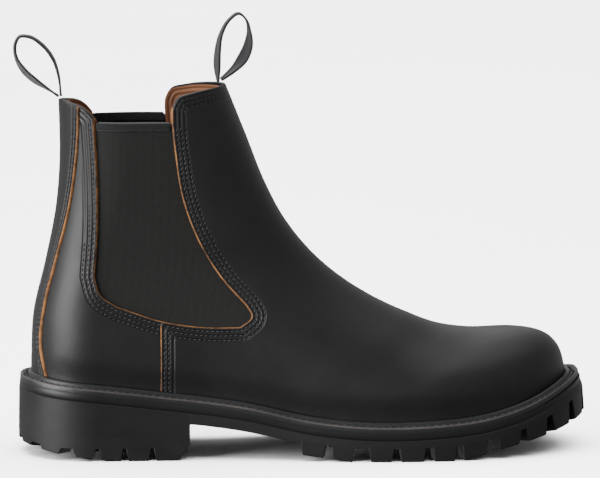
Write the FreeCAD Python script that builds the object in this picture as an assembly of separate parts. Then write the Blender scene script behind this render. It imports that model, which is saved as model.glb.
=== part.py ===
import FreeCAD, Part
import math
import os

# Chelsea boot for the right foot, EU 42, in millimetres.
# +X points to the toe, +Y to the inner (medial) side of the foot, +Z up.
# The tread touches the ground at z = 0 and the boot is centred on x = 0, y = 0.
#
# Every upper piece is a slice of one "skin": a closed surface that follows the
# outside of the leather, repeated at several depths below that outside face.

# ---------------------------------------------------------------- dimensions
LEATHER = 2.0             # thickness of vamp and quarters
BACKSTAY = 1.2            # leather strip sewn over the back seam
GORE = 1.2                # elastic webbing, toe puff and heel counter
LINING = 1.0
BINDING_OUT = 1.2         # depth of the outer face of the gore's top binding
LINING_OUT = LEATHER + GORE
LINING_IN = LINING_OUT + LINING
RIB_WIDTH = 5.0           # canvas rib under the insole

GORE_TOP = 176.0
BINDING_HEIGHT = 4.0
SIDE_SEAM_X = -77.5       # where the vamp meets the quarters

STORM_RIB_HEIGHT = 2.0    # raised lip of the welt against the upper
STORM_RIB_WIDTH = 3.0
WELT = 3.2
MIDSOLE = 3.8
WAIST_OUTSOLE = 5.8       # outsole thickness under the arch
TREAD_BASE = 4.0          # outsole thickness left above the grooves
INSOLE = 2.0
SOCK_LINER = 2.5
CORK = 2.0
SHANK_SIZE = (95.0, 12.0, 1.2)
SHANK_X = -57.0

WELT_MARGIN = 7.0         # how far each layer stands out from the upper
MIDSOLE_MARGIN = 7.4
OUTSOLE_MARGIN = 8.2
TOE_FLARE = 1.6           # extra length of the outsole at the toe

LOOP_WIDTH = 9.0          # pull loops, woven tape
LOOP_TAPE = 1.2

# The pattern's own origin: the finished boot is centred on x = 0, y = 0, and its
# tread, TREAD_Z in the pattern's heights, is put on z = 0.
CENTRE_X = 0.155
CENTRE_Y = -0.43
TREAD_Z = -2.5

# ------------------------------------------------- side and width guide lines
RING_TILT = math.tan(math.radians(28.0))    # skin sections rise toward the toe

# (z, x) up the back of the heel
BACK_LINE = [(-170, -142.9), (0, -142.9), (50, -143.4), (73, -142.0), (100, -135.6),
             (130, -129.7), (150, -127.9), (187, -128.1), (230, -129.5)]
# (x, z) from under the toe cap, over the instep and up the shin
FRONT_LINE = [(143.0, -20), (143.0, 20), (142.8, 42), (139.0, 52.2), (134.0, 57.0),
              (126.5, 59.9), (116, 61.2), (94, 60.9), (80.5, 62.4), (55.3, 71.0),
              (33.8, 81.9), (11.3, 98.5), (-7.8, 120.8), (-19.8, 143.5),
              (-28.3, 165.2), (-41.0, 197), (-72, 275)]
# (x, z) where the upper meets the welt
FEATHER_LINE = [(-160, 42.5), (-118, 38.4), (-78, 33.8), (-34, 28.2), (5, 20.4),
                (28, 18.2), (64, 18.3), (95, 21.2), (122, 28.4), (141, 36.6),
                (160, 45.8)]
# (x, half width) of the foot, outer and inner side
LATERAL_WIDTH = [(-150, 33.5), (-100, 33.8), (-60, 35), (-20, 39.5), (10, 45),
                 (40, 49), (70, 49.5), (95, 46.5), (142, 38)]
MEDIAL_WIDTH = [(-150, 33.5), (-100, 33), (-60, 29.5), (-30, 30), (0, 36),
                (30, 44), (60, 48.5), (92, 48.5), (142, 45)]
# (z, half width) of the shaft
SHAFT_WIDTH = [(60, 31), (105, 29), (130, 28.5), (160, 29.5), (190, 30.5), (280, 31)]
# (section level, length of the rounding) at the front and the back
FRONT_ROUNDING = [(-80, 50), (-36, 50), (-10, 56), (14, 62), (40, 54), (110, 42),
                  (290, 42)]
BACK_ROUNDING = [(-80, 34), (116, 34), (170, 36), (290, 40)]
ROUNDING_POWER = 2.4
BULGE = 1.8               # how far the upper swells out just above the welt
BULGE_HEIGHT = 14.0
SHAFT_START = 108.0       # from this height the shaft width rules alone

LATERAL, MEDIAL = -1, 1


def smooth_line(points):
    """Return a smooth function through (position, value) points."""
    spots = [p[0] for p in points]
    values = [p[1] for p in points]
    last = len(points) - 1
    gaps = [spots[i + 1] - spots[i] for i in range(last)]
    rises = [(values[i + 1] - values[i]) / gaps[i] for i in range(last)]
    slopes = [rises[0]]
    for i in range(1, last):
        share = gaps[i] / (gaps[i] + gaps[i - 1])
        slopes.append(rises[i - 1] * share + rises[i] * (1 - share))
    slopes.append(rises[-1])

    def value_at(spot):
        if spot <= spots[0]:
            return values[0] + (spot - spots[0]) * slopes[0]
        if spot >= spots[-1]:
            return values[-1] + (spot - spots[-1]) * slopes[-1]
        i = 0
        while spots[i + 1] < spot:
            i += 1
        t = (spot - spots[i]) / gaps[i]
        keep = (1 + 2 * t) * (1 - t) ** 2
        bend = gaps[i] * t * (1 - t)
        return (keep * values[i] + (1 - keep) * values[i + 1]
                + bend * ((1 - t) * slopes[i] - t * slopes[i + 1]))

    return value_at


feather = smooth_line(FEATHER_LINE)
lateral_width = smooth_line(LATERAL_WIDTH)
medial_width = smooth_line(MEDIAL_WIDTH)
shaft_width = smooth_line(SHAFT_WIDTH)
front_rounding = smooth_line(FRONT_ROUNDING)
back_rounding = smooth_line(BACK_ROUNDING)


def ease(t):
    t = min(max(t, 0.0), 1.0)
    return t * t * (3 - 2 * t)


# ---------------------------------------------------------------------- skin
def section_level(x, z):
    """Skin sections are parallel tilted planes; this numbers them."""
    return z - RING_TILT * x


def inset_line(points, depth):
    """Move a side-view line `depth` into the boot; return x by section level."""
    moved = []
    for i, (x, z) in enumerate(points):
        before = points[max(i - 1, 0)]
        after = points[min(i + 1, len(points) - 1)]
        run, rise = after[0] - before[0], after[1] - before[1]
        length = math.hypot(run, rise)
        x_in = x - depth * rise / length
        z_in = z + depth * run / length
        moved.append((section_level(x_in, z_in), x_in))
    return smooth_line(sorted(moved))


def sampled_front():
    """The front line, refined so that it can be moved inward evenly."""
    by_level = smooth_line([(section_level(x, z), x) for x, z in FRONT_LINE])
    first = section_level(*FRONT_LINE[0])
    final = section_level(*FRONT_LINE[-1])
    levels = [first + (final - first) * i / 60 for i in range(61)]
    return [(by_level(level), level + RING_TILT * by_level(level)) for level in levels]


class Skin:
    """The outside of the leather moved `depth` inward (negative: outward)."""

    def __init__(self, depth):
        self.depth = depth
        self.front = inset_line(sampled_front(), depth)
        # The back line runs upward too, so inward is the other way round.
        self.back = inset_line([(x, z) for z, x in BACK_LINE], -depth)

    def half_width(self, x, z, side):
        level = section_level(x, z)
        foot = lateral_width(x) if side == LATERAL else medial_width(x)
        foot += BULGE * ease((z - feather(x)) / BULGE_HEIGHT)
        bulge_top = feather(x) + BULGE_HEIGHT
        share = ease((z - bulge_top) / (SHAFT_START - bulge_top))
        width = foot * (1 - share) + shaft_width(z) * share - self.depth
        front, back = self.front(level), self.back(level)
        ahead = (x - front) / front_rounding(level) + 1
        behind = (back - x) / back_rounding(level) + 1
        for reach in (ahead, behind):
            reach = min(max(reach, 0.0), 1.0)
            width *= math.sqrt(1 - reach ** ROUNDING_POWER)
        return width

    def ring(self, level, count=34):
        """Closed list of points round one section, starting at the heel."""
        back, front = self.back(level), self.front(level)
        points = []
        for i in range(2 * count):
            angle = math.pi * i / count
            x = back + (front - back) * (1 - math.cos(angle)) / 2
            z = level + RING_TILT * x
            side = LATERAL if i <= count else MEDIAL
            points.append(FreeCAD.Vector(x, side * self.half_width(x, z, side), z))
        return points

    def solid(self):
        wires = []
        for level in SECTION_LEVELS:
            points = self.ring(level)
            # Equal parameters on every section keep the lofted surface light.
            spread = [float(i) for i in range(len(points) + 1)]
            curve = Part.BSplineCurve()
            curve.interpolate(Points=points, PeriodicFlag=True, Parameters=spread)
            wires.append(Part.Wire(curve.toShape()))
        return Part.makeLoft(wires, True, False)


SECTION_LEVELS = ([-62 + 8 * i for i in range(9)] + [14 + 12 * i for i in range(5)]
                  + [78 + 19 * i for i in range(11)])


# ------------------------------------------------------------ cutting shapes
def side_prism(outline, side=None):
    """Extrude a side-view outline (list of edges) across the boot."""
    face = Part.Face(Part.Wire(outline))
    near = 0.0 if side == MEDIAL else -90.0
    far = 0.0 if side == LATERAL else 90.0
    face.translate(FreeCAD.Vector(0, near, 0))
    return face.extrude(FreeCAD.Vector(0, far - near, 0))


def side_line(points):
    """Straight edges through side-view (x, z) points."""
    vectors = [FreeCAD.Vector(x, 0, z) for x, z in points]
    return [Part.makeLine(a, b) for a, b in zip(vectors, vectors[1:])]


def side_curve(points):
    """One smooth edge through side-view (x, z) points."""
    curve = Part.BSplineCurve()
    curve.interpolate([FreeCAD.Vector(x, 0, z) for x, z in points])
    return [curve.toShape()]


def side_polygon(points, side=None):
    return side_prism(side_line(points + points[:1]), side)


def sole_band(low, high):
    """Everything between two heights measured from the feather line."""
    xs = [-165 + 15 * i for i in range(23)]
    bottom = [(x, feather(x) + low) for x in xs]
    top = [(x, feather(x) + high) for x in xs]
    outline = side_curve(bottom) + side_line([bottom[-1], top[-1]])
    outline += side_curve(top) + side_line([top[0], bottom[0]])
    return side_prism(outline)


GORE_FRONT = [(-70.6, GORE_TOP), (-69.0, 161), (-64.8, 135.4), (-56.4, 112.8),
              (-44.6, 93.6), (-31.5, 79.0)]
GORE_TIP = [(-31.5, 79.0), (-28.8, 73.6), (-35.0, 68.0)]
GORE_BOTTOM = [(-35.0, 68.0), (-53.0, 68.0), (-75.0, 71.0), (-100.0, 79.2)]
GORE_HEEL = [(-100.0, 79.2), (-109.0, 85.5), (-112.0, 95.0)]
GORE_REAR = [(-112.0, 95.0), (-110.4, 115), (-110.2, 145), (-111.8, GORE_TOP)]
ABOVE = 240.0


def gore_edges(top):
    """Outline of the opening in the leather, left open upward to `top`."""
    edges = side_line([(GORE_FRONT[0][0], top), GORE_FRONT[0]])
    for part in (GORE_FRONT, GORE_TIP, GORE_BOTTOM, GORE_HEEL, GORE_REAR):
        edges += side_curve(part)
    edges += side_line([GORE_REAR[-1], (GORE_REAR[-1][0], top)])
    edges += side_line([(GORE_REAR[-1][0], top), (GORE_FRONT[0][0], top)])
    return edges


def gore_opening():
    return side_prism(gore_edges(ABOVE))


def gore_patch():
    """The whole gore: it reaches a little under the leather on three sides."""
    bottom = [(-119.5, 90), (-117, 80.5), (-106, 73), (-78, 62.5), (-52, 59.8), (-33, 60),
              (-21, 66), (-21.5, 76)]
    front = [bottom[-1], (-36.6, 97), (-48.6, 116), (-56.8, 137), (-61, 162), (-62.4, GORE_TOP - 1)]
    rear = [(-119.8, GORE_TOP - 1), (-118.4, 140), (-118.4, 115), bottom[0]]
    outline = side_curve(bottom) + side_curve(front)
    outline += side_line([front[-1], rear[0]]) + side_curve(rear)
    return side_prism(outline)


def collar_prism(drop=0.0):
    """Everything under the top line, `drop` lower for the lining."""
    front = [(-71.5, GORE_TOP - 6), (-70.7, 183.0), (-66.8, 189.8), (-59.0, 192.2),
             (-40.8, 194.8), (-20.0, 198.0)]
    rear = [(-160.0, 189.5), (-128.0, 186.8), (-117.6, 183.8), (-111.0, GORE_TOP + 1.5)]
    rear = [(x, z - drop) for x, z in rear]
    front = [(x, z - drop) for x, z in front]
    outline = side_curve(rear) + side_line([rear[-1], front[0]]) + side_curve(front)
    outline += side_line([front[-1], (170, 198), (170, -60), (-160, -60), rear[0]])
    return side_prism(outline)


def front_region():
    corners = [(SIDE_SEAM_X, -60), (170, -60), (170, ABOVE), (SIDE_SEAM_X, ABOVE)]
    return side_polygon(corners)


def rear_region(side=None):
    corners = [(-170, -60), (SIDE_SEAM_X, -60), (SIDE_SEAM_X, ABOVE), (-170, ABOVE)]
    return side_polygon(corners, side)


# --------------------------------------------------------------------- upper
UPPER_BOTTOM = -STORM_RIB_HEIGHT - WELT      # from the feather line


def above_sole(bottom=UPPER_BOTTOM):
    """Everything above a height measured from the feather line."""
    return sole_band(bottom, 200)


def layer(skins, outer, inner, window):
    """The shell between two skins, seen through a side-view window."""
    return skins[outer].common(window).cut(skins[inner])


def leather_window(region, drop=0.0):
    return region.common(collar_prism(drop)).common(above_sole()).cut(gore_opening())


def make_vamp(skins):
    return layer(skins, 0.0, LEATHER, leather_window(front_region()))


def make_quarter(skins, side):
    return layer(skins, 0.0, LEATHER, leather_window(rear_region(side)))


def make_backstay(skins):
    edge = [(-119.0, 200), (-119.6, 165), (-123.6, 132.4), (-131.0, 102.3),
            (-136.7, 81), (-139.6, 58), (-134.5, 30)]
    outline = side_curve(edge) + side_line([edge[-1], (-170, 30), (-170, 200), edge[0]])
    window = side_prism(outline).common(collar_prism()).common(above_sole(0))
    return layer(skins, -BACKSTAY, 0.0, window)


def make_gore(skins, side):
    half = side_polygon([(-170, -60), (170, -60), (170, ABOVE), (-170, ABOVE)], side)
    return layer(skins, LEATHER, LINING_OUT, gore_patch().common(half))


def make_gore_binding(skins, gore, side):
    """Tape folded over the top edge of the gore, between the leather edges."""
    left, right = GORE_REAR[-1][0] + 0.4, GORE_FRONT[0][0] - 0.4
    low, high = GORE_TOP - BINDING_HEIGHT, GORE_TOP + 0.6
    window = side_polygon([(left, low), (right, low), (right, high), (left, high)], side)
    return layer(skins, BINDING_OUT, LINING_IN, window).cut(gore)


def make_toe_puff(skins):
    toe = side_polygon([(96, -60), (170, -60), (170, 120), (86, 120)])
    return layer(skins, LEATHER, LINING_OUT, toe.common(above_sole()))


def make_heel_counter(skins):
    corners = [(-170, -60), (-86, -60), (-92, 50), (-112, 60), (-128, 84), (-170, 90)]
    return layer(skins, LEATHER, LINING_OUT, side_polygon(corners).common(above_sole()))


def make_lining(skins, region):
    return layer(skins, LINING_OUT, LINING_IN, leather_window(region, 1.5))


# ---------------------------------------------------------------- sole parts
def sole_outline(margin, toe_flare=0.0, count=44):
    """Plan outline of the foot at the feather line, moved out by `margin`."""
    skin = Skin(0.0)
    rim = []
    back, front = BACK_LINE[1][1], FRONT_LINE[1][0]
    for i in range(2 * count):
        angle = math.pi * (i + 0.5) / count
        x = back + (front - back) * (1 - math.cos(angle)) / 2
        side = LATERAL if angle < math.pi else MEDIAL
        rim.append((x, side * skin.half_width(x, feather(x), side)))
    points = []
    for i, (x, y) in enumerate(rim):
        before, after = rim[i - 1], rim[(i + 1) % len(rim)]
        run, rise = after[0] - before[0], after[1] - before[1]
        length = math.hypot(run, rise)
        x_out = x + margin * rise / length
        x_out += toe_flare * ease((x_out - 90) / 58)
        points.append(FreeCAD.Vector(x_out, y - margin * run / length, 0))
    return points


def outline_prism(margin, toe_flare=0.0):
    curve = Part.BSplineCurve()
    curve.interpolate(Points=sole_outline(margin, toe_flare), PeriodicFlag=True)
    face = Part.Face(Part.Wire(curve.toShape()))
    face.translate(FreeCAD.Vector(0, 0, -20))
    return face.extrude(FreeCAD.Vector(0, 0, 90))


def make_welt(skins):
    flat = outline_prism(WELT_MARGIN).common(sole_band(UPPER_BOTTOM, -STORM_RIB_HEIGHT))
    rib = skins[-STORM_RIB_WIDTH].common(sole_band(-STORM_RIB_HEIGHT, 0))
    return flat.cut(skins[0.0]).fuse(rib.cut(skins[0.0]))


def make_midsole():
    return outline_prism(MIDSOLE_MARGIN, TOE_FLARE / 2).common(sole_band(UPPER_BOTTOM - MIDSOLE, UPPER_BOTTOM))


OUTSOLE_TOP = UPPER_BOTTOM - MIDSOLE
# Side view of the tread: bevelled heel, breast, arch, then the rolling forepart.
HEEL_TREAD = [(-170, 7.8), (-102, TREAD_Z), (-70, TREAD_Z), (-63.8, 2.6)]
FOREPART_TREAD = [(76, TREAD_Z), (84, -1.9), (94, 0.4), (103, 2.9), (127, 8.3), (143, 13.0),
                  (165, 21.0)]
BREAST_X = -62.3
FOREPART_X = -6.0
# Grooves between the lugs: (x of the middle, width), the same on both sides.
FOREPART_GROOVES = [(10.6, 3.8), (28.0, 10.0), (46.6, 5.0), (64.0, 4.8), (80.3, 4.4),
                    (98.5, 7.0), (115.5, 4.6), (130.5, 4.8), (144.5, 3.6)]
HEEL_GROOVES = [(-127.5, 6.0), (-111.4, 4.0), (-97.0, 4.2), (-82.3, 3.8)]
GROOVE_REACH = 15.0       # how far a groove runs in from the edge
HEEL_GROOVE_TOP = 4.5


def tread_prism():
    arch_bottom = OUTSOLE_TOP - WAIST_OUTSOLE
    arch = [(x, feather(x) + arch_bottom) for x in (BREAST_X, -45, -28, FOREPART_X)]
    start = [(FOREPART_X, arch[-1][1]), (-2.4, 1.6), (24.0, TREAD_Z), FOREPART_TREAD[0]]
    outline = side_line(HEEL_TREAD + [arch[0]]) + side_curve(arch) + side_line(start)
    outline += side_curve(FOREPART_TREAD)
    outline += side_line([FOREPART_TREAD[-1], (165, 60), (-170, 60), HEEL_TREAD[0]])
    return side_prism(outline)


def groove_cutters(grooves, height_at):
    """Wedges that run in from the edge of the sole, square to it."""
    outline = sole_outline(OUTSOLE_MARGIN, TOE_FLARE, 160)
    cutters = []
    for middle, width in grooves:
        for side in (LATERAL, MEDIAL):
            edge = [p for p in outline if p.y * side > 0]
            spot = min(edge, key=lambda p: abs(p.x - middle))
            i = outline.index(spot)
            along = outline[(i + 1) % len(outline)] - outline[i - 1]
            top = height_at(spot.x)
            wedge = Part.makePolygon([FreeCAD.Vector(-0.6 * width, 0, -10),
                                      FreeCAD.Vector(0.6 * width, 0, -10),
                                      FreeCAD.Vector(0.35 * width, 0, top),
                                      FreeCAD.Vector(-0.35 * width, 0, top),
                                      FreeCAD.Vector(-0.6 * width, 0, -10)])
            cutter = Part.Face(wedge).extrude(FreeCAD.Vector(0, 2 * GROOVE_REACH, 0))
            cutter.translate(FreeCAD.Vector(0, -GROOVE_REACH, 0))
            turn = math.degrees(math.atan2(along.y, along.x))
            cutter.rotate(FreeCAD.Vector(), FreeCAD.Vector(0, 0, 1), turn)
            cutter.translate(FreeCAD.Vector(spot.x, spot.y, 0))
            cutters.append(cutter)
    return cutters


def centre_tread():
    """Hollow between the edge lugs, with a row of cross-shaped lugs left in it."""
    low = outline_prism(OUTSOLE_MARGIN - GROOVE_REACH)
    hollow = low.common(side_polygon([(4, -30), (132, -30), (132, 60), (4, 60)]))
    hollow = hollow.common(sole_band(-60, OUTSOLE_TOP - TREAD_BASE))
    for i in range(6):
        x = 19 + 19.5 * i
        y = 1.5 * math.sin(i)
        bar = Part.makeBox(14, 6, 80, FreeCAD.Vector(x - 7, y - 3, -30))
        post = Part.makeBox(6, 30, 80, FreeCAD.Vector(x - 3, y - 15, -30))
        hollow = hollow.cut(bar.fuse(post))
    return hollow


def make_outsole():
    body = outline_prism(OUTSOLE_MARGIN, TOE_FLARE).common(tread_prism())
    body = body.common(sole_band(-60, OUTSOLE_TOP))
    body = body.cut(centre_tread())
    cutters = groove_cutters(FOREPART_GROOVES, lambda x: feather(x) + OUTSOLE_TOP - TREAD_BASE)
    cutters += groove_cutters(HEEL_GROOVES, lambda x: HEEL_GROOVE_TOP)
    return body.cut(cutters)


def inside(skins, low, high, depth=LINING_IN):
    """A flat layer filling the inside of the boot between two heights."""
    return skins[depth].common(sole_band(low, high))


def make_shank():
    length, width, thickness = SHANK_SIZE
    strip = Part.makeBox(length, width, 80, FreeCAD.Vector(SHANK_X - length / 2, -width / 2, -20))
    top = UPPER_BOTTOM + CORK
    return strip.common(sole_band(top - thickness, top))


# --------------------------------------------------------------- pull loops
# Side-view middle lines of the two tape loops, from the foot round and back.
FRONT_LOOP = [(-44.1, 196.6), (-44.6, 208), (-43.0, 219), (-38.2, 228.6), (-32.2, 232.4),
              (-27.8, 226), (-26.9, 218), (-30.2, 209), (-35.8, 201.8), (-42.4, 197.0)]
REAR_LOOP = [(-129.2, 189.0), (-135.0, 192.4), (-142.7, 197.9), (-150.4, 206.4), (-152.2, 214),
             (-149.8, 220.2), (-143.4, 219.6), (-137.0, 214.8), (-131.2, 206.2),
             (-128.6, 196.8), (-127.9, 188.9)]


def tape_side(points, distance):
    """The middle line moved to one face of the tape."""
    moved = []
    for i, (x, z) in enumerate(points):
        before = points[max(i - 1, 0)]
        after = points[min(i + 1, len(points) - 1)]
        run, rise = after[0] - before[0], after[1] - before[1]
        length = math.hypot(run, rise)
        moved.append((x - distance * rise / length, z + distance * run / length))
    return moved


def make_loop(points):
    outer = tape_side(points, LOOP_TAPE / 2)
    inner = tape_side(points, -LOOP_TAPE / 2)[::-1]
    outline = side_curve(outer) + side_line([outer[-1], inner[0]])
    outline += side_curve(inner) + side_line([inner[-1], outer[0]])
    face = Part.Face(Part.Wire(outline))
    face.translate(FreeCAD.Vector(0, -LOOP_WIDTH / 2, 0))
    return face.extrude(FreeCAD.Vector(0, LOOP_WIDTH, 0))


# ---------------------------------------------------------------- everything
def make_upper(skins):
    pieces = {
        "vamp": make_vamp(skins),
        "quarter_lateral": make_quarter(skins, LATERAL),
        "quarter_medial": make_quarter(skins, MEDIAL),
        "backstay": make_backstay(skins),
        "toe_puff": make_toe_puff(skins),
        "heel_counter": make_heel_counter(skins),
        "vamp_lining": make_lining(skins, front_region()),
        "quarter_lining": make_lining(skins, rear_region()),
    }
    for name, side in (("lateral", LATERAL), ("medial", MEDIAL)):
        gore = make_gore(skins, side)
        pieces["gore_" + name] = gore
        pieces["gore_binding_" + name] = make_gore_binding(skins, gore, side)
    return pieces


def make_bottom(skins):
    cork_top = UPPER_BOTTOM + CORK
    insole_top = cork_top + INSOLE
    shank = make_shank()
    under = inside(skins, UPPER_BOTTOM, cork_top)
    filling = inside(skins, UPPER_BOTTOM, cork_top, LINING_IN + RIB_WIDTH)
    return {
        "sock_liner": inside(skins, insole_top, insole_top + SOCK_LINER),
        "insole_board": inside(skins, cork_top, insole_top),
        "insole_rib": under.cut(filling),
        "cork_filler": filling.cut(shank),
        "shank": shank,
        "welt": make_welt(skins),
        "midsole": make_midsole(),
        "outsole": make_outsole(),
    }


def main():
    depths = (-STORM_RIB_WIDTH, -BACKSTAY, 0.0, BINDING_OUT, LEATHER, LINING_OUT,
              LINING_IN, LINING_IN + RIB_WIDTH)
    skins = {depth: Skin(depth).solid() for depth in depths}
    pieces = make_upper(skins)
    pieces.update(make_bottom(skins))
    pieces["front_pull_loop"] = make_loop(FRONT_LOOP)
    pieces["rear_pull_loop"] = make_loop(REAR_LOOP)
    os.makedirs("parts", exist_ok=True)
    for name, shape in pieces.items():
        shape.translate(FreeCAD.Vector(-CENTRE_X, -CENTRE_Y, -TREAD_Z))
        shape.exportStep("parts/" + name + ".step")


main()
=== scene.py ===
"""The looks of a chelsea boot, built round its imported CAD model.

Lengths are in millimetres while shapes are worked out, and become metres when
a mesh is made. +X points to the toe, -Y to the outer side of the foot, +Z up.
"""

import math

import bpy
import numpy as np
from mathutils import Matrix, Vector


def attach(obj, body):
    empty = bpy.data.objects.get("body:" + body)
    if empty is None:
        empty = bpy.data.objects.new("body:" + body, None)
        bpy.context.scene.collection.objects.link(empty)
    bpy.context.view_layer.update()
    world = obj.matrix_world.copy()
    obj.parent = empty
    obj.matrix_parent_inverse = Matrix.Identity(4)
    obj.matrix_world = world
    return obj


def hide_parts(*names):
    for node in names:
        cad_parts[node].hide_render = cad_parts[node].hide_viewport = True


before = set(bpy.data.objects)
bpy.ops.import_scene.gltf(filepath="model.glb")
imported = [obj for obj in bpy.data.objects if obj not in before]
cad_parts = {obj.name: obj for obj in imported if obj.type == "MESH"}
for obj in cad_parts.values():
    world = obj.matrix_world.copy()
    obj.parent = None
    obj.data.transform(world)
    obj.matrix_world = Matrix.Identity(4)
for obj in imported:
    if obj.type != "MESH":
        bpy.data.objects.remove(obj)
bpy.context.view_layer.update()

MM = 0.001
SHIFT = np.array([-0.155, 0.43, 2.5])    # from the pattern's own origin to the frame's
LATERAL, MEDIAL = SIDES = (-1, 1)

# ------------------------------------------------------------------ boot form
RING_TILT = math.tan(math.radians(28.0))
BACK_LINE = [(-170, -142.9), (0, -142.9), (50, -143.4), (73, -142.0), (100, -135.6),
             (130, -129.7), (150, -127.9), (187, -128.1), (230, -129.5)]
FRONT_LINE = [(143.0, -20), (143.0, 20), (142.8, 42), (139.0, 52.2), (134.0, 57.0),
              (126.5, 59.9), (116, 61.2), (94, 60.9), (80.5, 62.4), (55.3, 71.0),
              (33.8, 81.9), (11.3, 98.5), (-7.8, 120.8), (-19.8, 143.5),
              (-28.3, 165.2), (-41.0, 197), (-72, 275)]
FEATHER_LINE = [(-160, 42.5), (-118, 38.4), (-78, 33.8), (-34, 28.2), (5, 20.4),
                (28, 18.2), (64, 18.3), (95, 21.2), (122, 28.4), (141, 36.6),
                (160, 45.8)]
LATERAL_WIDTH = [(-150, 33.5), (-100, 33.8), (-60, 35), (-20, 39.5), (10, 45),
                 (40, 49), (70, 49.5), (95, 46.5), (142, 38)]
MEDIAL_WIDTH = [(-150, 33.5), (-100, 33), (-60, 29.5), (-30, 30), (0, 36),
                (30, 44), (60, 48.5), (92, 48.5), (142, 45)]
SHAFT_WIDTH = [(60, 31), (105, 29), (130, 28.5), (160, 29.5), (190, 30.5), (280, 31)]
FRONT_ROUNDING = [(-80, 50), (-36, 50), (-10, 56), (14, 62), (40, 54), (110, 42),
                  (290, 42)]
BACK_ROUNDING = [(-80, 34), (116, 34), (170, 36), (290, 40)]
ROUNDING_POWER = 2.4
BULGE, BULGE_HEIGHT = 1.8, 14.0
SHAFT_START = 108.0


def smooth_line(points):
    """A smooth function through (position, value) points."""
    spots, values = np.array(points, float).T
    gaps = np.diff(spots)
    rises = np.diff(values) / gaps
    slopes = np.empty(len(spots))
    slopes[0], slopes[-1] = rises[0], rises[-1]
    slopes[1:-1] = (rises[:-1] * gaps[1:] + rises[1:] * gaps[:-1]) / (gaps[1:] + gaps[:-1])

    def value_at(spot):
        spot = np.asarray(spot, float)
        i = np.clip(np.searchsorted(spots, spot) - 1, 0, len(gaps) - 1)
        t = np.clip((spot - spots[i]) / gaps[i], 0, 1)
        keep = (1 + 2 * t) * (1 - t) ** 2
        bend = gaps[i] * t * (1 - t)
        value = (keep * values[i] + (1 - keep) * values[i + 1]
                 + bend * ((1 - t) * slopes[i] - t * slopes[i + 1]))
        value += np.minimum(spot - spots[0], 0) * slopes[0]
        return value + np.maximum(spot - spots[-1], 0) * slopes[-1]

    return value_at


def ease(t):
    t = np.clip(t, 0, 1)
    return t * t * (3 - 2 * t)


feather = smooth_line(FEATHER_LINE)
lateral_width = smooth_line(LATERAL_WIDTH)
medial_width = smooth_line(MEDIAL_WIDTH)
shaft_width = smooth_line(SHAFT_WIDTH)
front_rounding = smooth_line(FRONT_ROUNDING)
back_rounding = smooth_line(BACK_ROUNDING)
front_at = smooth_line([(z - RING_TILT * x, x) for x, z in FRONT_LINE])
back_at = smooth_line([(z - RING_TILT * x, x) for z, x in BACK_LINE])


def half_width(x, z, side):
    """How far the leather stands from the middle plane at a side-view point."""
    level = z - RING_TILT * x
    foot = np.where(side < 0, lateral_width(x), medial_width(x))
    foot = foot + BULGE * ease((z - feather(x)) / BULGE_HEIGHT)
    bulge_top = feather(x) + BULGE_HEIGHT
    share = ease((z - bulge_top) / (SHAFT_START - bulge_top))
    width = foot * (1 - share) + shaft_width(z) * share
    ahead = (x - front_at(level)) / front_rounding(level) + 1
    behind = (back_at(level) - x) / back_rounding(level) + 1
    for reach in (ahead, behind):
        width = width * np.sqrt(1 - np.clip(reach, 0, 1) ** ROUNDING_POWER)
    return width


SKIN_LEVELS = (-60.0, 262.0)    # tilted sections, from below the welt to over the collar


def skin_grid(step=1.7, columns=340):
    """Points and outward normals of the whole outside of the upper, as a grid."""
    levels = np.arange(*SKIN_LEVELS, step)[:, None]
    angle = 2 * np.pi * np.arange(columns) / columns
    back, front = back_at(levels), front_at(levels)
    x = back + (front - back) * (1 - np.cos(angle)) / 2
    z = levels + RING_TILT * x
    side = np.where(angle <= np.pi, LATERAL, MEDIAL)
    points = np.stack([x, side * half_width(x, z, side), z], -1)
    around = np.roll(points, -1, 1) - np.roll(points, 1, 1)
    upward = np.gradient(points, axis=0)
    normals = np.cross(around, upward)
    normals /= np.linalg.norm(normals, axis=-1, keepdims=True)
    return points, normals


def surface(x, z, side):
    """Points of the leather's outside above side-view points, with normals."""
    x, z = np.asarray(x, float), np.asarray(z, float)
    h = 0.4
    y = half_width(x, z, side)
    slope_x = (half_width(x + h, z, side) - half_width(x - h, z, side)) / (2 * h)
    slope_z = (half_width(x, z + h, side) - half_width(x, z - h, side)) / (2 * h)
    normals = np.stack([-slope_x, np.full_like(x, side), -slope_z], -1)
    normals /= np.linalg.norm(normals, axis=-1, keepdims=True)
    return np.stack([x, side * y, z], -1), normals


# ------------------------------------------------------------ pattern outlines
def run_along(path):
    """The distance along a path at each of its points."""
    return np.r_[0, np.cumsum(np.linalg.norm(np.diff(path, axis=0), axis=1))]


def spline(points, count):
    """A smooth curve through a path's points, as `count` points evenly along it."""
    p = np.array(points, float)
    chord = run_along(p)
    t = np.linspace(0, chord[-1], count)
    lines = [smooth_line(list(zip(chord, values))) for values in p.T]
    return np.stack([line(t) for line in lines], -1)


def joined(*parts):
    """Curves joined end to end, without repeating the shared points."""
    return np.concatenate([parts[0]] + [part[1:] for part in parts[1:]])


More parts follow.
